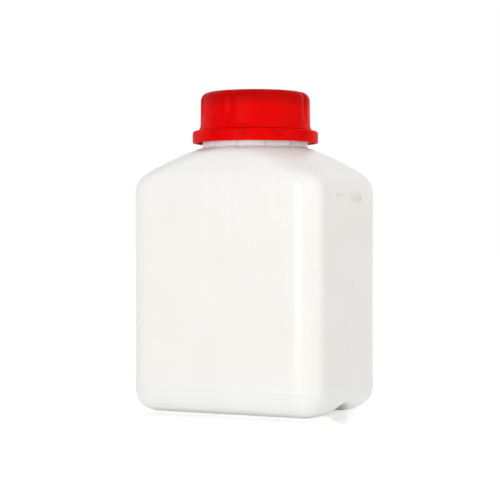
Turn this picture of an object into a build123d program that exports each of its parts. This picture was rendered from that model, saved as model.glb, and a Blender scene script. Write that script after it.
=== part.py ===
from build123d import *
import math
import os

os.makedirs("parts", exist_ok=True)

# A rectangular, blow-moulded laboratory bottle of 500 ml with a screw cap, a
# tamper-evident ring that stays on the neck, and a sealing insert inside the cap.
# Millimetres. +Z is up along the neck, the origin is at the middle of the foot,
# X runs along the wide side and the mould's parting plane is Y = 0.

# Bottle body
body_width = 90.0
body_depth = 68.2
corner_radius = 10.9
foot_radius = 9.6
side_height = 93.9
shoulder_radius = 11.3
shoulder_slope = 32.0
wall = 1.5
shoulder_steps = 6
seat_share = 0.03

# Channel pressed into the base along the parting plane, and its two end dents
channel_half_width = 8.5
channel_height = 4.2
channel_lip_radius = 2.5
dent_radius = 20.0
dent_depth = 1.8
dent_height = 3.0

# Neck
neck_root_radius = 20.3
neck_wall = 1.7
neck_height = 21.8
rim_bevel = 0.5
collar_step = 2.0
collar_height = 5.0
collar_wall = 1.8
seat_step = 2.1

# Ratchet blocks and holding bead, which keep the tamper ring on the neck
block_count = 12
block_depth = 0.9
block_rise = 0.3
block_gap_angle = 4.0
block_turn = 10.3
pawl_lag = 6.0
bead_depth = 1.7
bead_width = 1.4
bead_bevel = 0.3
bead_run_out = 0.8

# Thread, single start and right-handed
thread_pitch = 5.0
thread_root_width = 2.2
thread_crest_width = 1.1
neck_thread_depth = 1.35
neck_thread_turns = 1.7
neck_thread_rise = 3.4
cap_thread_turns = 1.5
cap_thread_rise = 1.7

# Screw cap
cap_wall = 1.65
cap_top = 1.4
cap_edge_radius = 3.6
cap_foot_step = 0.8
cap_foot_height = 2.4
grip_count = 8
grip_radius = 1.6
grip_depth = 0.55
grip_rise = 2.8

# Tamper ring
ring_wall = 1.4
ring_height = 5.2
ring_drop = 2.6
ring_edge_radius = 0.9
flange_width = 1.55
flange_height = 1.1
pawl_angle = 9.0
pawl_root_rise = 0.3
pawl_tip_height = 0.8
bridge_width = 0.8
bridge_height = 0.1

# Sealing insert
insert_thickness = 1.1
plug_depth = 2.4
plug_wall = 1.2

# Raised volume line on the side wall
marked_volume_ml = 500.0
mark_length = 8.0
mark_width = 0.6
mark_relief = 0.35
mark_start = 6.5

# Clearances
side_gap = 0.35
block_gap = 0.3
pawl_gap = 0.3
break_gap = 0.2
seal_gap = 0.1
insert_gap = 0.15
thread_crest_gap = 0.5
thread_root_gap = 0.6
flank_gap = 0.3
weld = 0.2
touch = 0.001

# Radii that follow from the sizes above
neck_bore_radius = neck_root_radius - neck_wall
collar_radius = neck_root_radius + collar_step
collar_bore_radius = collar_radius - collar_wall
seat_radius = collar_radius + seat_step
block_radius = collar_radius + block_depth
bead_radius = collar_radius + bead_depth
lip_radius = bead_radius + side_gap
ring_bore_radius = lip_radius + flange_width
ring_radius = ring_bore_radius + ring_wall
cap_bore_radius = neck_root_radius + neck_thread_depth + thread_crest_gap
cap_radius = cap_bore_radius + cap_wall
cap_thread_depth = cap_bore_radius - neck_root_radius - thread_root_gap

# Heights that follow from the sizes above
slope = math.radians(shoulder_slope)
arc_reach = body_width / 2 - shoulder_radius * (1 - math.sin(slope))
arc_top = side_height + shoulder_radius * math.cos(slope)
seat_z = arc_top + (arc_reach - seat_radius) * math.tan(slope)
rim_z = seat_z + neck_height
bead_z = seat_z + collar_height
neck_thread_z = bead_z + neck_thread_rise
ring_z = bead_z - ring_drop
ring_top_z = ring_z + ring_height
cap_z = ring_top_z + break_gap
insert_z = rim_z + seal_gap
cap_ceiling_z = insert_z + insert_thickness
cap_top_z = cap_ceiling_z + cap_top


def level(z, sketch):
    """Put a flat sketch at height z."""
    return Plane.XY.offset(z) * sketch


def disc(radius, z, height):
    """An upright cylinder that stands on height z."""
    return extrude(level(z, Circle(radius)), height)


def ring_about_z(points):
    """Turn a closed outline of (radius, height) points about the Z axis."""
    outline = make_face(Polyline(*[(r, 0, z) for r, z in points], close=True))
    return revolve(outline, Axis.Z)


def body_section(z, share, inset, neck):
    """The body's outline where it has gone a share of the way from neck to full size."""
    half_x = neck + (body_width / 2 - inset - neck) * share
    half_y = neck + (body_depth / 2 - inset - neck) * share
    corner = neck + (corner_radius - inset - neck) * share
    return level(z, RectangleRounded(2 * half_x, 2 * half_y, corner))


def body_solid(inset, neck):
    """The whole body drawn in from its outer skin by inset, up to the neck."""
    full_reach = body_width / 2 - inset
    radius = shoulder_radius - inset
    trunk = extrude(body_section(inset, 1, inset, neck), side_height - inset)
    trunk = fillet(trunk.faces().sort_by(Axis.Z)[0].edges(), foot_radius - inset)
    rounding = []
    for step in range(shoulder_steps + 1):
        turn = math.radians(step * (90 - shoulder_slope) / shoulder_steps)
        reach = body_width / 2 - shoulder_radius + radius * math.cos(turn)
        height = side_height + radius * math.sin(turn)
        rounding.append(body_section(height, (reach - neck) / (full_reach - neck), inset, neck))
    last_reach = neck + seat_share * (full_reach - neck)
    last_height = height + (reach - last_reach) * math.tan(slope)
    slant = [rounding[-1], body_section(last_height, seat_share, inset, neck)]
    return trunk + loft(rounding) + loft(slant, ruled=True)


def base_channel(skin):
    """What the parting-plane channel and its end dents take away, grown by skin."""
    radius = (channel_half_width ** 2 + channel_height ** 2) / (2 * channel_height)
    axis_z = channel_height - radius
    tube = Cylinder(radius + skin, body_width + 4 * wall, rotation=(0, 90, 0))
    cut = Pos(0, 0, axis_z) * tube
    dent_x = body_width / 2 - dent_depth + dent_radius
    for side in (-1, 1):
        cut += Pos(side * dent_x, 0, dent_height) * Sphere(dent_radius + skin)
    return cut


def pressed_body(inset, neck):
    """The body with its channel, whose edges are rounded as blown plastic is."""
    channel = base_channel(inset)
    body = body_solid(inset, neck) - channel
    lips = [edge for edge in body.edges() if channel.distance_to(Vertex(edge @ 0.5)) < touch]
    return fillet(lips, channel_lip_radius - inset)


def thread(radius, depth, start_z, turns, start_angle):
    """A helical ridge of trapezium section. Negative depth points it at the axis."""
    root = thread_root_width / 2
    crest = thread_crest_width / 2
    foot = -weld if depth > 0 else weld
    path = Helix(thread_pitch, turns * thread_pitch, radius)
    section = Plane(path @ 0, x_dir=(1, 0, 0), z_dir=path % 0)
    outline = Polyline((radius + foot, 0, -root), (radius + depth, 0, -crest),
                       (radius + depth, 0, crest), (radius + foot, 0, root), close=True)
    ridge = sweep(make_face(outline), path=path, is_frenet=True)
    return Pos(0, 0, start_z) * Rot(0, 0, start_angle) * ridge


def ratchet_blocks():
    """Blocks round the collar that ramp up one way and stop the ring turning back."""
    pitch = 360 / block_count
    sweep_angle = pitch - block_gap_angle
    inner = collar_radius - weld
    low = collar_radius + block_depth / 3
    crown = (low + block_radius) / 2
    height = bead_z - block_gap - seat_z - block_rise
    blocks = []
    for number in range(block_count):
        start = block_turn + number * pitch
        stop = start + sweep_angle
        ends = [(inner, start), (low, start), (block_radius, stop), (inner, stop)]
        corners = [(r * math.cos(math.radians(a)), r * math.sin(math.radians(a))) for r, a in ends]
        middle = math.radians(start + sweep_angle / 2)
        top = (crown * math.cos(middle), crown * math.sin(middle))
        outer = ThreePointArc(corners[1], top, corners[2])
        back = Polyline(corners[2], corners[3], corners[0], corners[1])
        block = make_face(Curve() + [outer, back])
        blocks.append(extrude(level(seat_z + block_rise, block), height))
    return blocks


def neck_outside():
    """Collar, bead and threaded tube of the neck, still solid."""
    root = neck_root_radius
    top = bead_z + bead_width
    outline = [(0, arc_top), (collar_radius, arc_top), (collar_radius, bead_z),
               (bead_radius, bead_z + bead_bevel), (bead_radius, top - bead_bevel),
               (root + bead_run_out, top), (root, top + bead_run_out),
               (root, rim_z - rim_bevel), (root - rim_bevel, rim_z), (0, rim_z)]
    return ring_about_z(outline)


def neck_inside():
    """The bore, which widens below the thread to follow the collar."""
    wide = collar_bore_radius
    outline = [(0, arc_top), (wide, arc_top), (wide, bead_z), (neck_bore_radius, neck_thread_z),
               (neck_bore_radius, rim_z + 1), (0, rim_z + 1)]
    return ring_about_z(outline)


def volume_line(cavity):
    """The raised line on the straight wall, at the level that the marked volume reaches."""
    straight = 2 * channel_height + foot_radius
    corner = corner_radius - wall
    area = (body_width - 2 * wall) * (body_depth - 2 * wall) - (4 - math.pi) * corner ** 2
    below = cavity & Pos(0, 0, straight / 2) * Box(body_width, body_depth, straight)
    height = straight + (marked_volume_ml * 1000 - below.volume) / area
    if height + mark_width > side_height:
        return []
    line = Box(2 * mark_relief, mark_length, mark_width)
    return [Pos(body_width / 2, -mark_start - mark_length / 2, height) * line]


def make_bottle():
    """The blow-moulded bottle, one piece from its feet to the rim of its mouth."""
    cavity = pressed_body(wall, collar_bore_radius)
    shell = pressed_body(0, seat_radius) + neck_outside()
    for block in ratchet_blocks():
        shell += block
    shell += thread(neck_root_radius, neck_thread_depth, neck_thread_z, neck_thread_turns, 0)
    shell = shell - cavity - neck_inside()
    for line in volume_line(cavity):
        shell += line
    return shell


def make_cap():
    """The screw cap with its inside thread and its grip grooves."""
    foot_top = cap_z + cap_foot_height
    outline = [(0, cap_z), (cap_radius + cap_foot_step, cap_z), (cap_radius, foot_top),
               (cap_radius, cap_top_z), (0, cap_top_z)]
    cap = ring_about_z(outline)
    cap = fillet(cap.edges().group_by(Axis.Z)[-1], cap_edge_radius)
    centre = cap_radius + grip_radius - grip_depth
    for number in range(grip_count):
        angle = math.radians(number * 360 / grip_count)
        place = Pos(centre * math.cos(angle), centre * math.sin(angle), 0)
        cap -= place * disc(grip_radius, cap_z + grip_rise, cap_top_z)
    cap -= disc(cap_bore_radius, cap_z - 1, cap_ceiling_z - cap_z + 1)
    drop = (thread_root_width + thread_crest_width) / 2 + flank_gap
    start_z = cap_z + cap_thread_rise
    start_angle = (start_z + drop - neck_thread_z) / thread_pitch * 360
    return cap + thread(cap_bore_radius, -cap_thread_depth, start_z, cap_thread_turns, start_angle)


def make_ring():
    """The tamper-evident ring, with its pawls and the broken bridges on its top."""
    flange_z = ring_top_z - flange_height
    outline = [(ring_bore_radius, ring_z), (ring_radius, ring_z), (ring_radius, ring_top_z),
               (lip_radius, ring_top_z), (lip_radius, flange_z), (ring_bore_radius, flange_z)]
    ring = ring_about_z(outline)
    rim = ring.edges().filter_by(GeomType.CIRCLE).group_by(Axis.Z)[-1].sort_by(SortBy.RADIUS)[-1]
    ring = fillet(rim, ring_edge_radius)
    tip = block_radius + pawl_gap
    root = ring_bore_radius + weld
    pawl_top = bead_z - pawl_gap
    for number in range(block_count):
        angle = block_turn + pawl_lag + number * 360 / block_count
        points = [(tip, pawl_top), (tip, pawl_top - pawl_tip_height),
                  (root, ring_z + pawl_root_rise), (root, pawl_top)]
        face = make_face(Polyline(*[(r, 0, z) for r, z in points], close=True))
        pawl = revolve(face, Axis.Z, pawl_angle)
        ring += Rot(0, 0, angle - pawl_angle / 2) * pawl
        bridge = Box(bridge_width, bridge_width, 2 * bridge_height)
        ring += Rot(0, 0, angle) * Pos(lip_radius + bridge_width / 2, 0, ring_top_z) * bridge
    return ring


def make_insert():
    """The sealing insert: a disc over the rim with a plug that enters the mouth."""
    disc_radius = cap_bore_radius - insert_gap
    plug_radius = neck_bore_radius - side_gap
    insert = disc(disc_radius, insert_z, insert_thickness)
    insert += disc(plug_radius, insert_z - plug_depth, plug_depth)
    return insert - disc(plug_radius - plug_wall, insert_z - plug_depth, plug_depth)


nodes = {
    "bottle": make_bottle,
    "screw_cap": make_cap,
    "tamper_ring": make_ring,
    "seal_insert": make_insert,
}
for name, make in nodes.items():
    export_step(make(), f"parts/{name}.step")
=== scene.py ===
import math

import bpy
import numpy as np
from mathutils import Matrix, Vector


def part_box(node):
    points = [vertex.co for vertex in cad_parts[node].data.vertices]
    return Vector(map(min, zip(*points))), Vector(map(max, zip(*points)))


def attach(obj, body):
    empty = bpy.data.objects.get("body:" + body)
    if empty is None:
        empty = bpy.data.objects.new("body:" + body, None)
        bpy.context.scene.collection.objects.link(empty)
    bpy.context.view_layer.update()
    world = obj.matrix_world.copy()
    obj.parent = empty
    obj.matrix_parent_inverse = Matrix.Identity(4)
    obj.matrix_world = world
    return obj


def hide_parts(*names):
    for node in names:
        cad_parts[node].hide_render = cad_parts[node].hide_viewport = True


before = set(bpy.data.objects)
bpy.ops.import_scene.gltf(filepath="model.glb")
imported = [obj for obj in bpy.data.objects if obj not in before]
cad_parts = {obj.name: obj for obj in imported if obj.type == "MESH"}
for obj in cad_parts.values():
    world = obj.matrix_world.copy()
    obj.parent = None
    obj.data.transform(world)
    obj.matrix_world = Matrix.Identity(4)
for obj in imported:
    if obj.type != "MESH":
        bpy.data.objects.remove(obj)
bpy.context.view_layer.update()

bl_info = {
    "name": "Rectangular Media Bottle",
    "version": (1, 0, 0),
    "blender": (4, 5, 0),
    "location": "View3D > Sidebar > Media Bottle",
    "description": "Builds a blow-moulded rectangular bottle with its screw cap and tamper ring",
    "category": "Add Mesh",
}

MM = 0.001
TURN = 2 * math.pi

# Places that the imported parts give, in metres
bottle_low, bottle_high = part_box("bottle")
cap_low, cap_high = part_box("screw_cap")
ring_low, ring_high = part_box("tamper_ring")
rim_z = bottle_high.z

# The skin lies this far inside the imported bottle's, so that fine raised lines stay within it
SKIN_INSET = 0.1 * MM
# Height of the tamper ring without its bridges
RING_HEIGHT = 5.2 * MM
# Each thread's turns, the height at which it starts and the angle at which it starts
NECK_THREAD = (1.7, 3.4 * MM, 0)
CAP_THREAD = (1.5, 1.7 * MM, math.radians(219.6))
# Half widths of both threads at root and crest, and the angle over which they fade out
THREAD_ROOT, THREAD_CREST, TAPER = 1.1 * MM, 0.55 * MM, math.radians(20)
# Room left between the ratchet blocks and the collar's ends, and beside each moving part
BLOCK_GAP = 0.3 * MM
SIDE_GAP = 0.35 * MM
# Height of the line that the mould's base insert leaves round the foot
BASE_LINE_Z = 10.4 * MM
# Half widths of the parting line and of that base line
PARTING_HALF, BASE_LINE_HALF = 0.55 * MM, 0.25 * MM
# The shoulder's slope ends at this share of the way from the neck out to the walls
SHOULDER_END = 0.03
# Half the angle over which a ratchet block's end rises
BLOCK_EDGE = 0.002
# Edges that turn past this angle are shaded sharp
CREASE = math.radians(38)
BOTTLE_PLASTIC = "blow-moulded natural HDPE"


# -------------------- sizes and colours

def length(name, description, millimetres):
    """A length property with its default given in millimetres."""
    return bpy.props.FloatProperty(name=name, description=description, default=millimetres * MM,
                                   unit="LENGTH", precision=5)


def angle(name, description, degrees):
    """An angle property with its default given in degrees."""
    return bpy.props.FloatProperty(name=name, description=description, subtype="ANGLE",
                                   default=math.radians(degrees))


def tint(name, description, hex_code):
    """A colour property with its default given as an sRGB hex code."""
    return bpy.props.FloatVectorProperty(name=name, description=description, subtype="COLOR",
                                         size=3, min=0, max=1, default=linear(hex_code))


def linear(hex_code):
    """The linear colour of an sRGB hex code."""
    channels = [int(hex_code[i:i + 2], 16) / 255 for i in (0, 2, 4)]
    return tuple(c / 12.92 if c <= 0.04045 else ((c + 0.055) / 1.055) ** 2.4 for c in channels)


class BottleSizes(bpy.types.PropertyGroup):
    """Sizes of the blow-moulded bottle."""
    wall: length("Wall", "Thickness of the blown wall", 1.5)
    corner_radius: length("Corner", "Radius of the upright corners", 10.9)
    foot_radius: length("Foot rounding", "Radius between the walls and the base", 9.6)
    side_height: length("Side height", "Height where the straight walls end", 93.9)
    shoulder_radius: length("Shoulder rounding", "Radius between walls and shoulder", 11.3)
    shoulder_slope: angle("Shoulder slope", "Slope of the shoulder on the wide side", 32)
    shoulder_crown: length("Shoulder crown", "How far the sloping shoulder bulges up", 0.55)
    panel_sink: length("Panel sink", "How far the middle of a wall has sunk in cooling", 0.25)
    channel_half_width: length("Channel half width", "Half width of the base channel", 8.5)
    channel_height: length("Channel height", "Height of the base channel", 4.2)
    lip_radius: length("Channel lip", "Rounding of the channel's edges", 2.5)
    dent_radius: length("Dent radius", "Radius of the dent at each channel end", 20)
    dent_depth: length("Dent depth", "Depth of the dent at each channel end", 1.8)
    dent_height: length("Dent height", "Height of the dent's centre", 3)
    seat_radius: length("Seat radius", "Radius where the shoulder ends", 24.4)
    collar_radius: length("Collar radius", "Radius of the neck's collar", 22.3)
    collar_height: length("Collar height", "Height of the collar above the shoulder", 5)
    collar_bore_radius: length("Collar bore", "Inside radius of the collar", 20.5)
    block_depth: length("Block depth", "How far a ratchet block stands out", 0.9)
    bead_depth: length("Bead depth", "How far the holding bead stands out", 1.7)
    root_radius: length("Neck radius", "Radius of the neck under its thread", 20.3)
    bore_radius: length("Bore radius", "Radius of the mouth", 18.6)
    neck_height: length("Neck height", "Height of the neck above the shoulder", 21.8)
    thread_depth: length("Thread depth", "How far the neck's thread stands out", 1.35)
    seam_relief: length("Seam relief", "Height of the parting line", 0.1)


class ClosureSizes(bpy.types.PropertyGroup):
    """Sizes of the screw cap, the tamper ring and the insert."""
    pitch: length("Thread pitch", "Rise of the thread in one turn", 5)
    cap_radius: length("Cap radius", "Radius of the cap's skirt", 23.8)
    cap_wall: length("Cap wall", "Thickness of the cap's skirt", 1.65)
    cap_top: length("Cap top", "Thickness of the cap's top", 1.4)
    foot_step: length("Cap foot", "How far the cap's foot stands out", 0.8)
    foot_height: length("Cap foot height", "Height of the cap's foot", 2.4)
    edge_radius: length("Cap edge", "Rounding of the cap's top edge", 3.6)
    thread_depth: length("Cap thread", "How far the cap's thread stands in", 1.25)
    groove_count: bpy.props.IntProperty(name="Grooves", description="Number of grip grooves",
                                        default=8, min=0)
    groove_depth: length("Groove depth", "Depth of the grip grooves", 0.65)
    groove_width: length("Groove width", "Half width of the grip grooves", 3.0)
    block_count: bpy.props.IntProperty(name="Ratchet blocks", min=1, default=12,
                                       description="Number of ratchet blocks and of pawls")
    block_turn: angle("First block", "Angle at which the first block starts", 10.3)
    block_sweep: angle("Block sweep", "Angle that a block takes up", 26)
    pawl_lag: angle("Pawl lag", "Angle from a block's start to its pawl", 6)
    pawl_sweep: angle("Pawl sweep", "Angle that a pawl takes up", 9)
    ring_wall: length("Ring wall", "Thickness of the tamper ring", 1.4)
    flange_width: length("Flange width", "How far the ring's top flange stands in", 1.55)
    flange_height: length("Flange height", "Thickness of the ring's top flange", 1.1)
    bridge_width: length("Bridge width", "Width of a broken bridge on the ring", 0.8)
    insert_thickness: length("Insert thickness", "Thickness of the insert's disc", 1.1)
    plug_wall: length("Plug wall", "Thickness of the insert's plug", 1.2)


class Finishes(bpy.types.PropertyGroup):
    """Colours of the plastics and of the studio."""
    polyethylene: tint("Natural polyethylene", "Milky colour of the rounded parts", "F6F6F4")
    # The warmer colour of the flat walls is a painted glow of light through them
    walls: tint("Flat walls", "Warmer colour of the bottle's flat walls", "FAF4ED")
    red: tint("Red plastic", "Colour of the cap and the ring", "E40202")
    # The deep red is painted shade, on the cap's top and on the ring over its pawls
    shaded_red: tint("Deep red", "Red where nothing white lies behind the plastic", "C00202")
    insert: tint("Insert", "Colour of the sealing insert", "F4F3EE")
    floor: tint("Floor", "Colour of the studio floor", "FFFFFF")


# -------------------- mesh helpers

def make_piece(name, vertices, faces, body, slot, material):
    """A smooth-shaded mesh piece that rides on a body and takes the given material. Slot is not
    used.
    """
    mesh = bpy.data.meshes.new(name)
    mesh.from_pydata(np.asarray(vertices).tolist(), [], faces)
    mesh.validate()
    mesh.shade_smooth()
    mesh.set_sharp_from_angle(angle=CREASE)
    mesh.materials.append(material)
    piece = bpy.data.objects.new(name, mesh)
    bpy.context.scene.collection.objects.link(piece)
    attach(piece, body)
    return piece


def join_rings(rings, closed=False):
    """Vertices and faces of a surface through rings about the Z axis. It ends in a pole at
    each end, or its last ring meets its first if closed. Rings may differ in their counts."""
    starts = np.cumsum([0] + [len(ring) for ring in rings])
    vertices = list(np.concatenate(rings))
    faces = []
    pairs = list(range(len(rings) - 1)) + ([-1] if closed else [])
    for i in pairs:
        faces += strip(rings[i], rings[i + 1], starts[i] if i >= 0 else starts[-2], starts[i + 1])
    if not closed:
        pole = len(vertices)
        vertices += [rings[0].mean(axis=0), rings[-1].mean(axis=0)]
        faces += [(pole, (j + 1) % len(rings[0]), j) for j in range(len(rings[0]))]
        count = len(rings[-1])
        faces += [(pole + 1, starts[-2] + j, starts[-2] + (j + 1) % count) for j in range(count)]
    return vertices, [tuple(int(v) for v in face) for face in faces]


def strip(low, high, low_start, high_start):
    """Faces between two rings: quads if their counts agree, or else triangles by angle."""
    count, other = len(low), len(high)
    if count == other:
        return [(low_start + j, low_start + (j + 1) % count,
                 high_start + (j + 1) % count, high_start + j) for j in range(count)]
    low_turns = np.append(np.arctan2(low[:, 1], low[:, 0]) % TURN, TURN)
    high_turns = np.append(np.arctan2(high[:, 1], high[:, 0]) % TURN, TURN)
    faces = []
    a = b = 0
    while a < count or b < other:
        if b >= other or (a < count and low_turns[a + 1] <= high_turns[b + 1]):
            faces.append((low_start + a % count, low_start + (a + 1) % count,
                          high_start + b % other))
            a += 1
        else:
            faces.append((low_start + a % count, high_start + (b + 1) % other,
                          high_start + b % other))
            b += 1
    return faces


def round_ring(turns, radius, height):
    """A ring of points about the Z axis. Radius and height may change with the angle."""
    height = np.broadcast_to(height, turns.shape)
    return np.stack([radius * np.cos(turns), radius * np.sin(turns), height], axis=1)


def outline_rings(turns, outline):
    """One ring for each (radius, height) point of an outline."""
    return [round_ring(turns, radius, z) for radius, z in outline]


def smooth_step(low, high, value):
    """0 below low, 1 above high and a smooth rise between them."""
    t = np.clip((value - low) / (high - low), 0, 1)
    return t * t * (3 - 2 * t)


def soft_max(a, b, reach):
    """The larger of two values, rounded over where they are within reach of each other."""
    near = np.maximum(reach - np.abs(a - b), 0) / reach
    return np.maximum(a, b) + near ** 2 * reach / 4


def arc(centre, radius, start, stop, count):
    """Points (radius, height) along an arc, its angles in degrees."""
    turns = np.radians(np.linspace(start, stop, count))
    return [(centre[0] + radius * math.cos(t), centre[1] + radius * math.sin(t)) for t in turns]


def thread_share(turns, z, thread, pitch):
    """How far out a single-start, right-handed thread stands at each angle, from 0 to 1. The
    height z is taken from the same place as the thread's own start."""
    wraps, start_z, start_turn = thread
    share = np.zeros_like(turns)
    for wrap in range(-1, int(wraps) + 2):
        along = turns - start_turn + wrap * TURN
        middle = start_z + pitch * along / TURN
        ridge = np.clip((THREAD_ROOT - np.abs(z - middle)) / (THREAD_ROOT - THREAD_CREST), 0, 1)
        ends = smooth_step(0, TAPER, along) * smooth_step(0, TAPER, wraps * TURN - along)
        share = np.maximum(share, ridge * ends)
    return share


def even_turns(degrees, extra=()):
    """Angles about so many degrees apart, with extra ones where an edge must be sharp."""
    count = round(360 / degrees)
    turns = np.concatenate([np.arange(count) * TURN / count, np.asarray(extra) % TURN])
    return np.unique(np.round(turns, 5))


# -------------------- bottle

def wall_turns(sizes):
    """Angles whose rays share out the body's outline, closest at the corners and the seam."""
    half_x, half_y = -bottle_low.x, bottle_high.y
    radius = sizes.corner_radius
    side = list(np.arange(1.3, 11, 0.8) * MM) + list(np.linspace(12.5 * MM, half_y - radius, 8))
    points = [(half_x, y) for y in [0, 0.2 * MM, 0.45 * MM, 0.7 * MM] + side]
    for turn in np.linspace(0, math.pi / 2, 21)[1:]:
        points.append((half_x - radius + radius * math.cos(turn),
                       half_y - radius + radius * math.sin(turn)))
    points += [(x, half_y) for x in np.linspace(half_x - radius, 0, 26)[1:]]
    quarter = np.array([math.atan2(y, x) for x, y in points])
    half = np.concatenate([quarter, math.pi - quarter[-2::-1]])
    return np.concatenate([half, half[1:-1] + math.pi])


def section_reach(turns, half_x, half_y, corner):
    """Distance from the axis to a rounded rectangle along each angle."""
    cos, sin = np.abs(np.cos(turns)), np.abs(np.sin(turns))
    with np.errstate(divide="ignore"):
        to_x, to_y = half_x / cos, half_y / sin
    centre_x, centre_y = half_x - corner, half_y - corner
    along = cos * centre_x + sin * centre_y
    inside = np.maximum(along ** 2 - centre_x ** 2 - centre_y ** 2 + corner ** 2, 0)
    to_corner = along + np.sqrt(inside)
    reach = np.where(to_x * sin <= centre_y, to_x, to_corner)
    return np.where(to_y * cos <= centre_x, to_y, reach)


def body_rings(sizes, turns, inset, neck, base_count, wall_heights):
    """Rings of the body's skin from the middle of its base up to the neck. Inset draws the
    skin in from the outside, and neck is the radius at which it ends."""
    full_x, full_y = -bottle_low.x - inset, bottle_high.y - inset
    corner = sizes.corner_radius - inset
    floor_z = inset if inset > SKIN_INSET else 0

    def ring(z, half_x, half_y, radius):
        return round_ring(turns, section_reach(turns, half_x, half_y, radius), z)

    def share_ring(z, share):
        return ring(z, *(neck + (full - neck) * share for full in (full_x, full_y, corner)))

    rings = []
    foot = sizes.foot_radius - inset
    for share in np.linspace(0, 1, base_count + 1)[1:]:
        outer = ring(floor_z, full_x - foot, full_y - foot, max(corner - foot, 0.5 * MM))
        rings.append(outer * (share, share, 1))
    for turn in np.radians(np.linspace(0, 90, 15)[1:]):
        off = foot * (1 - math.sin(turn))
        rings.append(ring(floor_z + foot * (1 - math.cos(turn)), full_x - off, full_y - off,
                          max(corner - off, 0.5 * MM)))
    rings += [ring(z, full_x, full_y, corner) for z in wall_heights]
    radius = sizes.shoulder_radius - inset
    end = math.pi / 2 - sizes.shoulder_slope
    for turn in np.linspace(0, end, 12):
        reach = -bottle_low.x - sizes.shoulder_radius + radius * math.cos(turn)
        height = sizes.side_height + radius * math.sin(turn)
        rings.append(share_ring(height, (reach - neck) / (full_x - neck)))
    last_share = (reach - neck) / (full_x - neck)
    for share in np.linspace(last_share, SHOULDER_END, 13)[1:]:
        rise = (last_share - share) * (full_x - neck) * math.tan(sizes.shoulder_slope)
        crown = sizes.shoulder_crown * math.sin(math.pi * (last_share - share) / last_share)
        rings.append(share_ring(height + rise + crown, share))
    return press_base(sizes, np.array(rings), inset)


def press_base(sizes, rings, inset):
    """Presses the channel, its end dents and the sunk panels into a body's rings."""
    x, y, z = rings[..., 0], rings[..., 1], rings[..., 2]
    grown = inset if inset > SKIN_INSET else 0
    half, height = sizes.channel_half_width, sizes.channel_height
    radius = (half ** 2 + height ** 2) / (2 * height)
    roof = height - radius + np.sqrt(np.maximum((radius + grown) ** 2 - y ** 2, 0))
    lip = 1.1 * (sizes.lip_radius - 0.5 * grown)
    z = np.where(z < 3 * height, soft_max(z, roof, lip), z)
    centre = -bottle_low.x - sizes.dent_depth + sizes.dent_radius
    ball = (sizes.dent_radius + grown) ** 2 - y ** 2 - (z - sizes.dent_height) ** 2
    wall_x = centre - np.sqrt(np.maximum(ball, 0))
    pressed = -soft_max(-np.abs(x), -wall_x, 0.6 * MM)
    x = np.where(ball > 0, np.sign(x) * pressed, x)
    full_x, full_y = -bottle_low.x, bottle_high.y
    tall = smooth_step(sizes.foot_radius, 3 * sizes.foot_radius, z)
    tall = tall * smooth_step(sizes.side_height, 0.75 * sizes.side_height, z)
    sink = sizes.panel_sink * tall
    on_x = np.clip(1 - (y / (full_y - sizes.corner_radius)) ** 2, 0, 1) ** 2
    on_y = np.clip(1 - (x / (full_x - sizes.corner_radius)) ** 2, 0, 1) ** 2
    x = x - np.where(np.abs(x) > 0.95 * full_x, np.sign(x) * sink * on_x, 0)
    y = y - np.where(np.abs(y) > 0.95 * full_y, np.sign(y) * sink * on_y, 0)
    return np.stack([x, y, z], axis=-1)


def raise_seams(sizes, rings):
    """Raises the mould's parting line and its base insert's line along the skin."""
    along = np.roll(rings, -1, axis=1) - np.roll(rings, 1, axis=1)
    up = np.gradient(rings, axis=0)
    normal = np.cross(along, up)
    normal /= np.maximum(np.linalg.norm(normal, axis=-1, keepdims=True), 1e-12)
    y, z = rings[..., 1], rings[..., 2]
    parting = np.clip(1 - np.abs(y) / PARTING_HALF, 0, 1)
    base_line = np.clip(1 - np.abs(z - BASE_LINE_Z) / BASE_LINE_HALF, 0, 1)
    relief = np.maximum(parting, base_line) * sizes.seam_relief
    return rings + normal * relief[..., None]


def neck_rings(sizes, closure, turns):
    """Rings of the neck's outside, from the shoulder up to the rim, with the ratchet blocks,
    the holding bead and the thread."""
    collar, root = sizes.collar_radius - SKIN_INSET, sizes.root_radius - SKIN_INSET
    seat_z = rim_z - sizes.neck_height
    bead_z = seat_z + sizes.collar_height
    bead = sizes.collar_radius + sizes.bead_depth - SKIN_INSET
    block_low, block_high = seat_z + BLOCK_GAP, bead_z - BLOCK_GAP
    outline = [(sizes.seat_radius - 0.3 * MM, seat_z - 0.12 * MM)]
    outline += arc((collar + 0.3 * MM, seat_z + 0.15 * MM), 0.27 * MM, 270, 180, 4)
    outline += [(collar, z) for z in
                (block_low, block_low + 0.15 * MM, 0.5 * (block_low + block_high),
                 block_high - 0.15 * MM, block_high, block_high + 0.12 * MM, bead_z)]
    outline += [(bead - 0.25 * MM, bead_z + 0.25 * MM)]
    outline += arc((bead - 0.3 * MM, bead_z + 0.6 * MM), 0.3 * MM, -60, 60, 5)
    outline += [(bead - 0.5 * MM, bead_z + 1.25 * MM), (root + 0.8 * MM, bead_z + 1.4 * MM)]
    outline += arc((root + 0.8 * MM, bead_z + 2.2 * MM), 0.8 * MM, 270, 180, 6)[1:]
    outline += [(root, z) for z in np.arange(bead_z + 2.4 * MM, rim_z - 0.8 * MM, 0.25 * MM)]
    outline += arc((root - 0.5 * MM, rim_z - 0.5 * MM), 0.5 * MM, 0, 90, 5)
    step = TURN / closure.block_count
    into = ((turns - closure.block_turn) % step) / closure.block_sweep
    ramp = np.where(into <= 1, sizes.block_depth * (1 + 2 * into) / 3, 0)
    rings = []
    for radius, z in outline:
        reach = np.full_like(turns, radius)
        if block_low <= z <= block_high:
            reach += ramp * (0.8 if z in (block_low, block_high) else 1)
        if z > bead_z + 2 * MM:
            share = thread_share(turns, z - bead_z, NECK_THREAD, closure.pitch)
            reach += sizes.thread_depth * share
        rings.append(round_ring(turns, reach, z))
    return rings


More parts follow.
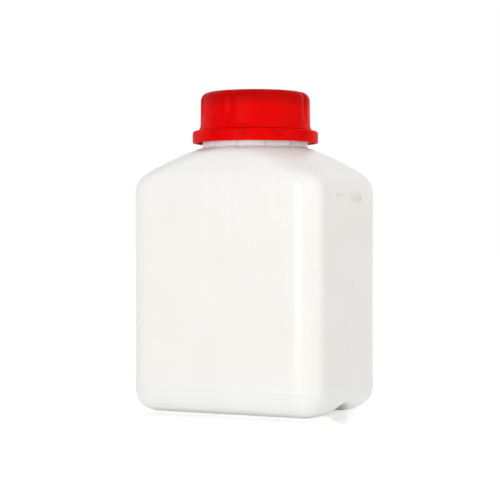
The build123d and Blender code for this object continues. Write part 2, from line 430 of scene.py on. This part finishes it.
def inner_neck_rings(sizes, turns):
    """Rings of the neck's inside, from the rim down to the body's cavity."""
    bore, wide = sizes.bore_radius, sizes.collar_bore_radius
    bead_z = rim_z - sizes.neck_height + sizes.collar_height
    outline = arc((bore + 0.4 * MM, rim_z - 0.4 * MM), 0.4 * MM, 90, 180, 5)
    outline += [(bore, z) for z in np.linspace(rim_z - 2 * MM, bead_z + 3.8 * MM, 5)]
    outline += [(bore + 0.15 * MM, bead_z + 3.2 * MM), (wide - 0.15 * MM, bead_z + 0.2 * MM),
                (wide, bead_z - 0.3 * MM), (wide, bead_z - 0.6 * sizes.collar_height)]
    return outline_rings(turns, outline)


def bottle_rings(sizes, closure):
    """All rings of the bottle's closed skin, from under its base round to inside its base."""
    turns = wall_turns(sizes)
    edges = [closure.block_turn + n * TURN / closure.block_count + part + side
             for n in range(closure.block_count)
             for part in (0, closure.block_sweep) for side in (-BLOCK_EDGE, BLOCK_EDGE)]
    neck_turns = even_turns(1.3, edges)
    foot, side = sizes.foot_radius, sizes.side_height
    line = [BASE_LINE_Z + step * MM for step in (-0.3, -0.12, 0, 0.12, 0.3)]
    heights = line + list(np.linspace(foot + 3 * MM, side, 30)[:-1])
    outer = raise_seams(sizes, body_rings(sizes, turns, SKIN_INSET, sizes.seat_radius, 34,
                                          heights))
    inner = body_rings(sizes, turns, sizes.wall, sizes.collar_bore_radius, 18,
                       np.linspace(foot + 2 * MM, side, 10)[:-1])
    return (list(outer) + neck_rings(sizes, closure, neck_turns)
            + inner_neck_rings(sizes, turns) + list(inner[::-1]))


def mark_height():
    """Height of the raised volume line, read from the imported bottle's side wall."""
    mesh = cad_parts["bottle"].data
    points = np.empty(3 * len(mesh.vertices))
    mesh.vertices.foreach_get("co", points)
    points = points.reshape(-1, 3)
    return float(points[points[:, 0] > bottle_high.x - 0.05 * MM][:, 2].mean())


# -------------------- closure

def cap_rings(sizes):
    """All rings of the cap's closed skin, from its inside ceiling round its foot to its top."""
    turns = even_turns(1.2)
    foot_z, top_z = cap_low.z, cap_high.z
    ceiling_z = top_z - sizes.cap_top
    bore = sizes.cap_radius - sizes.cap_wall
    rings = outline_rings(turns, [(radius * MM, ceiling_z) for radius in (2, 8, 14, 18.5)]
                          + arc((bore - 0.5 * MM, ceiling_z - 0.5 * MM), 0.5 * MM, 90, 0, 5))
    for z in np.arange(ceiling_z - 0.8 * MM, foot_z + 0.45 * MM, -0.3 * MM):
        share = thread_share(turns, z - foot_z, CAP_THREAD, sizes.pitch)
        rings.append(round_ring(turns, bore - sizes.thread_depth * share, z))
    foot = sizes.cap_radius + sizes.foot_step
    rings += outline_rings(turns, [(bore + 0.15 * MM, foot_z + 0.12 * MM),
                                   (bore + 0.4 * MM, foot_z)]
                           + arc((foot - 0.3 * MM, foot_z + 0.3 * MM), 0.3 * MM, 270, 360, 4))
    for radius, z, depth in cap_outline(sizes, foot_z, top_z):
        rings.append(round_ring(turns, radius - depth * groove_shape(sizes, turns, radius), z))
    return rings


def cap_outline(sizes, foot_z, top_z):
    """Points (radius, height, groove depth) up the cap's outside and in across its top."""
    outline = []
    for z in np.linspace(foot_z + 0.6 * MM, top_z - sizes.edge_radius, 34):
        flare = (sizes.foot_step - 0.12 * MM) * (1 - smooth_step(0, sizes.foot_height, z - foot_z))
        grip = smooth_step(sizes.foot_height, 3.6 * sizes.foot_height, z - foot_z)
        draft = 0.12 * MM * (top_z - z) / (top_z - foot_z)
        outline.append((sizes.cap_radius + draft + flare, z, grip * sizes.groove_depth))
    middle = (sizes.cap_radius - sizes.edge_radius, top_z - sizes.edge_radius)
    for radius, z in arc(middle, sizes.edge_radius, 0, 90, 14)[1:]:
        grip = smooth_step(middle[0] - 0.4 * MM, middle[0] + 1.6 * MM, radius)
        outline.append((radius, z, grip * sizes.groove_depth))
    # The top is dished a little, with the mark of the mould's gate in its middle
    for radius, drop in ((20.2, 0), (19.6, 0.03), (19.1, 0.2), (18.6, 0.3), (18, 0.33),
                         (12, 0.33), (6, 0.33), (3.4, 0.33), (3.0, 0.36), (2.7, 0.48),
                         (2.3, 0.55), (1.2, 0.55), (0.95, 0.5), (0.8, 0.3), (0.45, 0.25)):
        outline.append((radius * MM, top_z - drop * MM, 0))
    return outline


def groove_shape(sizes, turns, radius):
    """How deep the grip grooves are at each angle, from 0 to 1, with soft sides."""
    step = TURN / max(sizes.groove_count, 1)
    away = np.abs((turns + step / 2) % step - step / 2) * radius
    groove = np.cos(np.clip(away / sizes.groove_width, 0, 1) * math.pi / 2) ** 2
    # Between grooves the skirt is a little flatter than round
    flat = 1 - np.cos((np.abs((turns % step) - step / 2) - step / 2))
    flat = flat / max(1 - math.cos(step / 2), 1e-9)
    return groove * (sizes.groove_count > 0) + 0.12 * flat


def band_rings(sizes, lip):
    """Rings of the tamper ring's closed skin, from its lower inside edge outwards and round."""
    turns = even_turns(1.5)
    low_z, top_z = ring_low.z, ring_low.z + RING_HEIGHT
    bore = lip + sizes.flange_width
    outer = bore + sizes.ring_wall
    flange_z = top_z - sizes.flange_height
    outline = arc((bore + 0.25 * MM, low_z + 0.25 * MM), 0.25 * MM, 180, 270, 4)
    outline += arc((outer - 0.35 * MM, low_z + 0.35 * MM), 0.35 * MM, 270, 360, 5)
    outline += [(outer + 0.02 * MM * k, low_z + k * MM) for k in (1, 1.8, 2.6, 3.2)]
    outline += arc((outer - 0.95 * MM, top_z - 0.95 * MM), 0.95 * MM, 0, 90, 9)
    outline += arc((lip + 0.2 * MM, top_z - 0.2 * MM), 0.2 * MM, 90, 180, 4)
    outline += arc((lip + 0.2 * MM, flange_z + 0.2 * MM), 0.2 * MM, 180, 270, 4)
    outline += [(bore - 0.3 * MM, flange_z), (bore - 0.08 * MM, flange_z - 0.08 * MM),
                (bore, flange_z - 0.3 * MM), (bore, low_z + 2 * MM), (bore, low_z + 0.8 * MM)]
    return outline_rings(turns, outline)


def swept_blocks(blocks):
    """Vertices and faces of closed blocks. Each block is a (radius, height) outline, given
    anticlockwise, that is carried round the axis from one angle to another."""
    vertices, faces = [], []
    for outline, start, stop in blocks:
        first, count = len(vertices), len(outline)
        turns = np.linspace(start, stop, 7)
        vertices += [(r * math.cos(turn), r * math.sin(turn), z) for turn in turns
                     for r, z in outline]
        for i in range(len(turns) - 1):
            low, high = first + i * count, first + (i + 1) * count
            faces += [(low + k, high + k, high + (k + 1) % count, low + (k + 1) % count)
                      for k in range(count)]
        faces.append(tuple(range(first, first + count)))
        faces.append(tuple(range(len(vertices) - 1, len(vertices) - 1 - count, -1)))
    return vertices, faces


def pawls_and_bridges(sizes, block_radius, bead_z, lip, bore):
    """The pawls inside the ring and the broken bridges on its top, one pair for each block."""
    top_z = ring_low.z + RING_HEIGHT
    tip, root = block_radius + BLOCK_GAP, bore + 0.2 * MM
    pawl_top = bead_z - BLOCK_GAP
    pawl = [(tip, pawl_top - 0.65 * MM), (tip + 0.2 * MM, pawl_top - 0.8 * MM),
            (root, ring_low.z + 0.4 * MM), (root, pawl_top), (tip + 0.15 * MM, pawl_top),
            (tip, pawl_top - 0.15 * MM)]
    high_z = ring_high.z
    bridge = [(lip, top_z - 0.3 * MM), (lip + 0.8 * MM, top_z - 0.3 * MM),
              (lip + 0.75 * MM, high_z - 0.08 * MM), (lip + 0.5 * MM, high_z),
              (lip + 0.2 * MM, high_z - 0.05 * MM), (lip, high_z - 0.15 * MM)]
    half = sizes.bridge_width / 2 / lip
    blocks = []
    for number in range(sizes.block_count):
        middle = sizes.block_turn + sizes.pawl_lag + number * TURN / sizes.block_count
        blocks.append((pawl, middle - sizes.pawl_sweep / 2, middle + sizes.pawl_sweep / 2))
        blocks.append((bridge, middle - half, middle + half))
    return swept_blocks(blocks)


def insert_rings(sizes, insert_low, insert_high, bore_radius):
    """Rings of the insert's closed skin: a disc with rounded edges over a tapered plug."""
    turns = even_turns(2.5)
    disc, plug = insert_high.x, bore_radius - SIDE_GAP
    low_z, top_z = insert_low.z, insert_high.z
    under_z, inside = top_z - sizes.insert_thickness, plug - sizes.plug_wall
    outline = [(radius * MM, under_z) for radius in (1.5, 6, 12)]
    outline += arc((inside - 0.4 * MM, under_z - 0.4 * MM), 0.4 * MM, 90, 0, 4)
    outline += [(inside, low_z + 0.9 * MM), (inside + 0.15 * MM, low_z + 0.2 * MM)]
    outline += arc((plug - 0.55 * MM, low_z + 0.3 * MM), 0.3 * MM, 230, 330, 5)
    outline += [(plug - 0.12 * MM, low_z + 0.8 * MM), (plug, low_z + 1.4 * MM),
                (plug, under_z - 0.3 * MM), (plug + 0.1 * MM, under_z - 0.05 * MM),
                (plug + 0.4 * MM, under_z), (disc - 0.9 * MM, under_z)]
    outline += arc((disc - 0.35 * MM, under_z + 0.35 * MM), 0.35 * MM, 270, 360, 5)
    outline += arc((disc - 0.35 * MM, top_z - 0.35 * MM), 0.35 * MM, 0, 90, 5)
    # Two fine steps on top, where the mould's insert and its gate were
    for radius, drop in ((17, 0), (16.8, 0.12), (9, 0.12), (8.8, 0.02), (2, 0.02), (1.7, 0.2),
                         (1.2, 0.25)):
        outline.append((radius * MM, top_z - drop * MM))
    return outline_rings(turns, outline)


# -------------------- volume mark

LINE_ENDS = (-14.4 * MM, -6.6 * MM)
LINE_RADIUS = 0.32 * MM
LINE_DEPTH = 0.02 * MM
NUMBER_HEIGHT = 6.2 * MM
NUMBER_START = 0.6 * MM
NUMBER_DROP = 1.1 * MM
NUMBER_DEPTH = 0.14 * MM


def mark_parts(height):
    """The raised volume line and the number beside it, on the +X wall."""
    wall_x = -bottle_low.x
    curve = bpy.data.curves.new("volume line", "CURVE")
    curve.dimensions = "3D"
    curve.bevel_depth = LINE_RADIUS
    curve.bevel_resolution = 4
    curve.use_fill_caps = True
    spline = curve.splines.new("POLY")
    spline.points.add(1)
    for point, y in zip(spline.points, LINE_ENDS):
        point.co = (wall_x - LINE_DEPTH, y, height, 1)
    text = bpy.data.curves.new("volume number", "FONT")
    text.body = "500"
    text.size = NUMBER_HEIGHT
    text.space_character = 1.35
    text.extrude = 0.25 * MM
    text.bevel_depth = 0.1 * MM
    text.align_y = "CENTER"
    number = bpy.data.objects.new("volume number", text)
    number.matrix_world = Matrix(((0, 0, 1, wall_x - NUMBER_DEPTH), (1, 0, 0, NUMBER_START),
                                  (0, 1, 0, height - NUMBER_DROP), (0, 0, 0, 1)))
    return [bpy.data.objects.new("volume line", curve), number]


def merged_mesh(parts):
    """Vertices and faces of several curve or text objects, which are then removed."""
    vertices, faces = [], []
    for part in parts:
        bpy.context.scene.collection.objects.link(part)
    bpy.context.view_layer.update()
    graph = bpy.context.evaluated_depsgraph_get()
    for part in parts:
        mesh = bpy.data.meshes.new_from_object(part.evaluated_get(graph))
        start = len(vertices)
        vertices += [part.matrix_world @ v.co for v in mesh.vertices]
        faces += [tuple(start + v for v in face.vertices) for face in mesh.polygons]
    for part in parts:
        bpy.data.objects.remove(part)
    return vertices, faces


# -------------------- materials

# Node settings that many nodes share
SMOOTH = {"interpolation_type": "SMOOTHSTEP"}
MULTIPLY = {"operation": "MULTIPLY"}


def node(tree, kind, inputs=None, **settings):
    """Adds a shader node. Inputs gives each socket a value, or the node or output it reads."""
    made = tree.nodes.new(kind)
    for key, value in settings.items():
        setattr(made, key, value)
    for socket, value in (inputs or {}).items():
        if isinstance(value, bpy.types.Node):
            value = next(output for output in value.outputs if output.enabled)
        if isinstance(value, bpy.types.NodeSocket):
            tree.links.new(value, made.inputs[socket])
        else:
            made.inputs[socket].default_value = value
    return made


def new_material(name):
    """An empty node material with its node tree and the place of each point on its piece."""
    material = bpy.data.materials.new(name)
    material.use_nodes = True
    material.node_tree.nodes.clear()
    tree = material.node_tree
    return material, tree, node(tree, "ShaderNodeTexCoord").outputs["Object"]


def tone(tree, colour, pattern, low, high, darkest):
    """Darkens a colour by a pattern: full at its high value and darkest at its low value."""
    shade = node(tree, "ShaderNodeMapRange",
                 {"Value": pattern, "From Min": low, "From Max": high, "To Min": darkest})
    return node(tree, "ShaderNodeMix", {"Factor": 1.0, 6: colour, 7: shade},
                data_type="RGBA", blend_type="MULTIPLY")


def uneven_face(tree, place, layers):
    """A surface's small unevenness. Each layer has the width and height of its marks in
    millimetres, its strength and its detail."""
    inputs = {}
    for width, height, strength, detail in layers:
        marks = node(tree, "ShaderNodeTexNoise",
                     {"Vector": place, "Scale": 1 / (width * MM), "Detail": detail})
        inputs |= {"Height": marks, "Strength": strength, "Distance": height * MM}
        inputs["Normal"] = node(tree, "ShaderNodeBump", inputs)
    return inputs["Normal"]


def blown_polyethylene(colours):
    """Natural high-density polyethylene, blow moulded. It is milky, so light runs a little way
    inside and rounds off every shadow, and the mould's fine matt face breaks up highlights."""
    material, tree, place = new_material(BOTTLE_PLASTIC)
    height = node(tree, "ShaderNodeSeparateXYZ", {"Vector": place}).outputs["Z"]
    # The flat walls are given a warmer colour than the foot and shoulder, most of all in soft
    # patches 34 mm across: a painted glow of light that runs through the thin walls
    above = node(tree, "ShaderNodeMapRange",
                 {"Value": height, "From Min": 5 * MM, "From Max": 26 * MM},
                 **SMOOTH)
    below = node(tree, "ShaderNodeMapRange",
                 {"Value": height, "From Min": 84 * MM, "From Max": 108 * MM,
                  "To Min": 1.0, "To Max": 0.0}, **SMOOTH)
    patch = node(tree, "ShaderNodeTexNoise",
                 {"Vector": place, "Scale": 1 / (34 * MM), "Detail": 1.0})
    patch = node(tree, "ShaderNodeMapRange",
                 {"Value": patch, "From Min": 0.35, "From Max": 0.65, "To Min": 0.6})
    painted_glow = node(tree, "ShaderNodeMath", {0: above, 1: below}, **MULTIPLY)
    painted_glow = node(tree, "ShaderNodeMath", {0: painted_glow, 1: patch}, **MULTIPLY)
    colour = node(tree, "ShaderNodeMix",
                  {"Factor": painted_glow, 6: (*colours.polyethylene, 1), 7: (*colours.walls, 1)},
                  data_type="RGBA")
    # Slight clouding, 25 mm across, and flow lines drawn up the parison, 2 mm wide
    cloud = node(tree, "ShaderNodeTexNoise",
                 {"Vector": place, "Scale": 1 / (25 * MM), "Detail": 2.0})
    drawn = node(tree, "ShaderNodeMapping", {"Vector": place, "Scale": (1, 1, 0.05)})
    flow = node(tree, "ShaderNodeTexNoise",
                {"Vector": drawn, "Scale": 1 / (2.2 * MM), "Detail": 2.0})
    marks = node(tree, "ShaderNodeMix", {"Factor": 0.3, 2: cloud, 3: flow})
    colour = tone(tree, colour, marks, 0.33, 0.67, 0.965)
    # A blown wall is never quite flat, with waves 18 mm across. The blasted mould leaves pits
    # of 0.2 mm, drawn at 0.5 mm so that they show
    bump = uneven_face(tree, place, ((18, 0.25, 0.5, 1.0), (0.5, 0.03, 0.25, 2.0)))
    rough = node(tree, "ShaderNodeMapRange", {"Value": cloud, "From Min": 0.3, "From Max": 0.7,
                                              "To Min": 0.33, "To Max": 0.41})
    surface = node(tree, "ShaderNodeBsdfPrincipled",
                   {"Base Color": colour, "Roughness": rough, "IOR": 1.54, "Normal": bump,
                    "Subsurface Weight": 0.35, "Subsurface Radius": (1.0, 0.96, 0.9),
                    "Subsurface Scale": 3 * MM})
    node(tree, "ShaderNodeOutputMaterial", {"Surface": surface})
    return material


def moulded_red(name, depth, colours):
    """Red polypropylene, injection moulded. It is even in colour, a little darker where the
    flow fronts met, with a dull sheen over very slight sink marks. Depth(tree, place) gives
    the painted shade at each place, from 0 to 1, which deepens the red."""
    material, tree, place = new_material(name)
    drawn = node(tree, "ShaderNodeMapping", {"Vector": place, "Scale": (1, 1, 0.4)})
    flow = node(tree, "ShaderNodeTexNoise",
                {"Vector": drawn, "Scale": 1 / (9 * MM), "Detail": 2.0})
    colour = node(tree, "ShaderNodeMix",
                  {"Factor": depth(tree, place), 6: (*colours.red, 1), 7: (*colours.shaded_red, 1)},
                  data_type="RGBA")
    colour = tone(tree, colour, flow, 0.3, 0.7, 0.95)
    # Sink marks 12 mm across, and the spark-eroded mould's texture of 0.15 mm, drawn at
    # 0.35 mm so that it shows
    bump = uneven_face(tree, place, ((12, 0.12, 0.4, 1.0), (0.35, 0.02, 0.2, 2.0)))
    rough = node(tree, "ShaderNodeMapRange", {"Value": flow, "From Min": 0.3, "From Max": 0.7,
                                              "To Min": 0.38, "To Max": 0.46})
    surface = node(tree, "ShaderNodeBsdfPrincipled",
                   {"Base Color": colour, "Roughness": rough, "IOR": 1.49,
                    "Specular IOR Level": 0.03, "Normal": bump})
    node(tree, "ShaderNodeOutputMaterial", {"Surface": surface})
    return material


def painted_shade_by_rim(tree, place):
    """Painted shade: from 6 mm under the rim upwards the red deepens, so the cap's top and its
    rounded top edge come out darker, standing in for the shade that falls there."""
    height = node(tree, "ShaderNodeSeparateXYZ", {"Vector": place}).outputs["Z"]
    return node(tree, "ShaderNodeMapRange",
                {"Value": height, "From Min": rim_z - 6 * MM, "From Max": rim_z},
                **SMOOTH)


def close_to(tree, value, middle, full, gone, most):
    """Most where a value is within full of its middle, and a smooth fall to 0 at gone."""
    off = node(tree, "ShaderNodeMath", {0: value, 1: middle}, operation="SUBTRACT")
    off = node(tree, "ShaderNodeMath", {0: off}, operation="ABSOLUTE")
    return node(tree, "ShaderNodeMapRange", {"Value": off, "From Min": full, "From Max": gone,
                                             "To Min": most, "To Max": 0.0}, **SMOOTH)


def painted_pawl_shade(tree, place):
    """Painted shade: soft, deeper red patches on the ring over each pawl, standing in for the
    pawls' shade seen through the thin wall.
    """
    sizes = bpy.context.scene.media_bottle_closure
    step, half = TURN / sizes.block_count, sizes.pawl_sweep / 2
    parts = node(tree, "ShaderNodeSeparateXYZ", {"Vector": place}).outputs
    turn = node(tree, "ShaderNodeMath", {0: parts["Y"], 1: parts["X"]}, operation="ARCTAN2")
    turn = node(tree, "ShaderNodeMath",
                {0: turn, 1: 2 * TURN - sizes.block_turn - sizes.pawl_lag + step / 2},
                operation="ADD")
    turn = node(tree, "ShaderNodeMath", {0: turn, 1: step}, operation="FLOORED_MODULO")
    along = close_to(tree, turn, step / 2, 0.2 * half, 1.7 * half, 1.0)
    up = close_to(tree, parts["Z"], ring_low.z + 3.2 * MM, 0.4 * MM, 2.4 * MM, 0.55)
    return node(tree, "ShaderNodeMath", {0: along, 1: up}, **MULTIPLY)


def soft_insert(colours):
    """Low-density polyethylene, injection moulded: whiter and softer than the bottle, with a
    waxy sheen and faint rings from turning under the cap."""
    material, tree, place = new_material("injection-moulded LDPE")
    # The wave node goes through 20 radians a unit, so 0.8 mm a radian makes rings 5 mm apart,
    # drawn wider than real rub marks so that they show
    rings = node(tree, "ShaderNodeTexWave", {"Vector": place, "Scale": 1 / (0.8 * MM * 20),
                                             "Distortion": 1.5, "Detail": 1.0},
                 wave_type="RINGS", rings_direction="Z")
    rings = rings.outputs["Fac"]
    colour = tone(tree, (*colours.insert, 1), rings, 0, 1, 0.97)
    bump = node(tree, "ShaderNodeBump",
                {"Height": rings, "Strength": 0.15, "Distance": 0.03 * MM})
    surface = node(tree, "ShaderNodeBsdfPrincipled",
                   {"Base Color": colour, "Roughness": 0.5, "IOR": 1.51, "Normal": bump,
                    "Subsurface Weight": 0.25, "Subsurface Radius": (1.0, 0.95, 0.9),
                    "Subsurface Scale": 2 * MM})
    node(tree, "ShaderNodeOutputMaterial", {"Surface": surface})
    return material


# -------------------- stage

EYE_TURN = math.radians(26.8)
EYE_DISTANCE = 0.7107
EYE_HEIGHT = 0.0752
# Light that the floor seems to give where it is seen: under the foot, beside it and far off.
# Under the foot it is painted light that pales the object's contact shadow
CONTACT_PAINTED_GLOW, NEAR_GLOW, FAR_GLOW = 0.5, 0.2, 0.25
AMBIENT = 0.52
EYE_LENS = 117.4
EYE_SHIFT = (-0.0107, -0.0282)
LAMP_REACH = 1.1
# Soft boxes round the object: turn from the front and lift in degrees, power in watts, width
# and height in metres, and whether the box shows as a sheen and whether it lights surfaces.
# The card is a wide white board that only shows as a sheen along the nearest corner
LAMPS = {"front": (0, 5, 4.1, 0.55, 0.3, True, True),
         "right": (90, 5, 0.8, 0.55, 0.3, True, True),
         "left": (-90, 8, 0.5, 0.55, 0.5, True, True),
         "back": (180, 12, 6.4, 0.55, 0.9, False, True),
         "upper right": (68, 48, 2.6, 0.6, 0.9, True, True),
         "card": (60, 12, 3.5, 2.1, 0.9, True, False)}


class MEDIABOTTLE_OT_stage(bpy.types.Operator):
    """Sets the floor, the soft lights, the white surroundings and the camera"""
    bl_idname = "media_bottle.stage"
    bl_label = "Stage"

    def execute(self, context):
        scene = context.scene
        scene.view_settings.view_transform = "Standard"
        make_floor(scene.media_bottle_finishes)
        make_surroundings(scene)
        for name, values in LAMPS.items():
            soft_light(name, *values)
        make_camera(scene)
        return {"FINISHED"}


def seen_by(tree, *kinds):
    """1 for the kinds of ray by which a surface is seen, and 0 for the others."""
    path = node(tree, "ShaderNodeLightPath").outputs
    seen = path["Is Camera Ray"]
    for kind in kinds:
        seen = node(tree, "ShaderNodeMath", {0: seen, 1: path[kind]}, operation="MAXIMUM")
    return seen


def make_floor(colours):
    """A white, slightly glossy floor. It shows the object's shadow, paled at the foot by painted
    light, and a faint reflection.
    """
    bpy.ops.mesh.primitive_plane_add(size=12)
    floor = bpy.context.object
    floor.name = "floor"
    material, tree, place = new_material("white acrylic sheet")
    surface = node(tree, "ShaderNodeBsdfPrincipled",
                   {"Base Color": (*colours.floor, 1), "Roughness": 0.06, "IOR": 1.35})
    # The glow lifts the open floor to plain white where it is seen, and less so beside the
    # object, where the reflection shows. Round the foot it is raised again, a painted light that
    # pales the contact shadow
    parts = node(tree, "ShaderNodeSeparateXYZ", {"Vector": place}).outputs
    along = node(tree, "ShaderNodeMath", {0: parts["X"]}, operation="ABSOLUTE")
    across = node(tree, "ShaderNodeMath", {0: parts["Y"]}, operation="ABSOLUTE")
    along = node(tree, "ShaderNodeMath", {0: along, 1: -bottle_low.x}, operation="SUBTRACT")
    across = node(tree, "ShaderNodeMath", {0: across, 1: bottle_high.y}, operation="SUBTRACT")
    away = node(tree, "ShaderNodeMath", {0: along, 1: across}, operation="MAXIMUM")
    near = node(tree, "ShaderNodeMapRange",
                {"Value": away, "From Min": -8 * MM, "From Max": 4 * MM,
                 "To Min": CONTACT_PAINTED_GLOW, "To Max": NEAR_GLOW}, **SMOOTH)
    far = node(tree, "ShaderNodeMapRange",
               {"Value": away, "From Min": 30 * MM, "From Max": 80 * MM,
                "To Max": FAR_GLOW - NEAR_GLOW}, **SMOOTH)
    glow = node(tree, "ShaderNodeMath", {0: near, 1: far}, operation="ADD")
    glow = node(tree, "ShaderNodeMath", {0: glow, 1: seen_by(tree, "Is Glossy Ray")}, **MULTIPLY)
    light = node(tree, "ShaderNodeEmission", {"Strength": glow})
    both = node(tree, "ShaderNodeAddShader", {0: surface, 1: light})
    node(tree, "ShaderNodeOutputMaterial", {"Surface": both})
    floor.data.materials.append(material)


def make_surroundings(scene):
    """White surroundings: pure white where seen, and a plain even light on everything."""
    world = bpy.data.worlds.new("white studio")
    world.use_nodes = True
    tree = world.node_tree
    tree.nodes.clear()
    seen = seen_by(tree, "Is Glossy Ray", "Is Transmission Ray")
    strength = node(tree, "ShaderNodeMapRange", {"Value": seen, "To Min": AMBIENT, "To Max": 1.0})
    background = node(tree, "ShaderNodeBackground", {"Color": (1, 1, 1, 1),
                                                     "Strength": strength})
    node(tree, "ShaderNodeOutputWorld", {"Surface": background})
    scene.world = world


def soft_light(name, turn, lift, power, width, height, sheen, shading):
    """A soft box that faces the object, turned about it from the front and lifted, in degrees."""
    data = bpy.data.lights.new(name, "AREA")
    data.shape = "RECTANGLE"
    data.size, data.size_y = width, height
    data.energy = power
    lamp = bpy.data.objects.new(name, data)
    lamp.visible_glossy = sheen
    lamp.visible_diffuse = shading
    turn, lift = math.radians(turn), math.radians(lift)
    reach = LAMP_REACH * math.cos(lift)
    toward = Vector((reach * math.sin(turn), -reach * math.cos(turn), LAMP_REACH * math.sin(lift)))
    lamp.location = Vector((0, 0, cap_high.z / 2)) + toward
    lamp.rotation_euler = (-toward).to_track_quat("-Z", "Y").to_euler()
    bpy.context.scene.collection.objects.link(lamp)


def make_camera(scene):
    """A level camera with a long lens, at the height of the body's upper half."""
    data = bpy.data.cameras.new("camera")
    data.lens = EYE_LENS
    data.shift_x, data.shift_y = EYE_SHIFT
    camera = bpy.data.objects.new("camera", data)
    camera.location = (EYE_DISTANCE * math.sin(EYE_TURN), -EYE_DISTANCE * math.cos(EYE_TURN),
                       EYE_HEIGHT)
    camera.rotation_euler = (math.pi / 2, 0, EYE_TURN)
    scene.collection.objects.link(camera)
    scene.camera = camera


# -------------------- pieces

class MEDIABOTTLE_OT_bottle(bpy.types.Operator):
    """Builds the bottle's closed skin, with its inside, neck, thread and pressed base"""
    bl_idname = "media_bottle.bottle"
    bl_label = "Bottle"

    def execute(self, context):
        scene = context.scene
        rings = bottle_rings(scene.media_bottle_sizes, scene.media_bottle_closure)
        piece = make_piece("bottle_skin", *join_rings(rings), "bottle", "natural_polyethylene",
                           blown_polyethylene(scene.media_bottle_finishes))
        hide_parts("bottle")
        return {"FINISHED"}


class MEDIABOTTLE_OT_mark(bpy.types.Operator):
    """Builds the raised volume line and its number on the side wall"""
    bl_idname = "media_bottle.mark"
    bl_label = "Volume Mark"

    def execute(self, context):
        make_piece("volume_mark", *merged_mesh(mark_parts(mark_height())), "bottle",
                   "natural_polyethylene", bpy.data.materials[BOTTLE_PLASTIC])
        return {"FINISHED"}


class MEDIABOTTLE_OT_cap(bpy.types.Operator):
    """Builds the screw cap, with its grip grooves and its inside thread"""
    bl_idname = "media_bottle.cap"
    bl_label = "Screw Cap"

    def execute(self, context):
        scene = context.scene
        piece = make_piece("cap_shell", *join_rings(cap_rings(scene.media_bottle_closure)), "cap",
                           "red_polypropylene",
                           moulded_red("injection-moulded red PP cap", painted_shade_by_rim,
                                       scene.media_bottle_finishes))
        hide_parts("screw_cap")
        return {"FINISHED"}


class MEDIABOTTLE_OT_ring(bpy.types.Operator):
    """Builds the tamper ring, with its pawls and its broken bridges"""
    bl_idname = "media_bottle.ring"
    bl_label = "Tamper Ring"

    def execute(self, context):
        scene = context.scene
        sizes, closure = scene.media_bottle_sizes, scene.media_bottle_closure
        bead_z = rim_z - sizes.neck_height + sizes.collar_height
        lip = sizes.collar_radius + sizes.bead_depth + SIDE_GAP
        vertices, faces = join_rings(band_rings(closure, lip), closed=True)
        more, more_faces = pawls_and_bridges(closure, sizes.collar_radius + sizes.block_depth,
                                             bead_z, lip, lip + closure.flange_width)
        faces += [tuple(len(vertices) + v for v in face) for face in more_faces]
        piece = make_piece("tamper_band", vertices + more, faces,
                           "bottle", "red_polypropylene_ring",
                           moulded_red("injection-moulded red PP ring", painted_pawl_shade,
                                       scene.media_bottle_finishes))
        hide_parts("tamper_ring")
        return {"FINISHED"}


class MEDIABOTTLE_OT_insert(bpy.types.Operator):
    """Builds the sealing insert, a disc with a plug that enters the mouth"""
    bl_idname = "media_bottle.insert"
    bl_label = "Sealing Insert"

    def execute(self, context):
        scene = context.scene
        rings = insert_rings(scene.media_bottle_closure, *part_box("seal_insert"),
                             scene.media_bottle_sizes.bore_radius)
        piece = make_piece("rim_insert", *join_rings(rings), "insert", "insert_polyethylene",
                           soft_insert(scene.media_bottle_finishes))
        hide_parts("seal_insert")
        return {"FINISHED"}


class MEDIABOTTLE_PT_pieces(bpy.types.Panel):
    """Lists the steps that build the bottle"""
    bl_idname = "MEDIABOTTLE_PT_pieces"
    bl_label = "Rectangular Media Bottle"
    bl_space_type = "VIEW_3D"
    bl_region_type = "UI"
    bl_category = "Media Bottle"

    def draw(self, context):
        for step in STEPS:
            self.layout.operator(step.bl_idname)


STEPS = (MEDIABOTTLE_OT_stage, MEDIABOTTLE_OT_bottle, MEDIABOTTLE_OT_mark,
         MEDIABOTTLE_OT_cap, MEDIABOTTLE_OT_ring, MEDIABOTTLE_OT_insert)
GROUPS = {"media_bottle_sizes": BottleSizes, "media_bottle_closure": ClosureSizes,
          "media_bottle_finishes": Finishes}


def register():
    for name, group in GROUPS.items():
        bpy.utils.register_class(group)
        setattr(bpy.types.Scene, name, bpy.props.PointerProperty(type=group))
    for step in STEPS:
        bpy.utils.register_class(step)
    bpy.utils.register_class(MEDIABOTTLE_PT_pieces)


def unregister():
    bpy.utils.unregister_class(MEDIABOTTLE_PT_pieces)
    for step in reversed(STEPS):
        bpy.utils.unregister_class(step)
    for name, group in reversed(GROUPS.items()):
        delattr(bpy.types.Scene, name)
        bpy.utils.unregister_class(group)


def main():
    register()
    bpy.ops.media_bottle.stage()
    bpy.ops.media_bottle.bottle()
    bpy.ops.media_bottle.mark()
    bpy.ops.media_bottle.cap()
    bpy.ops.media_bottle.ring()
    bpy.ops.media_bottle.insert()


if __name__ == "__main__":
    main()
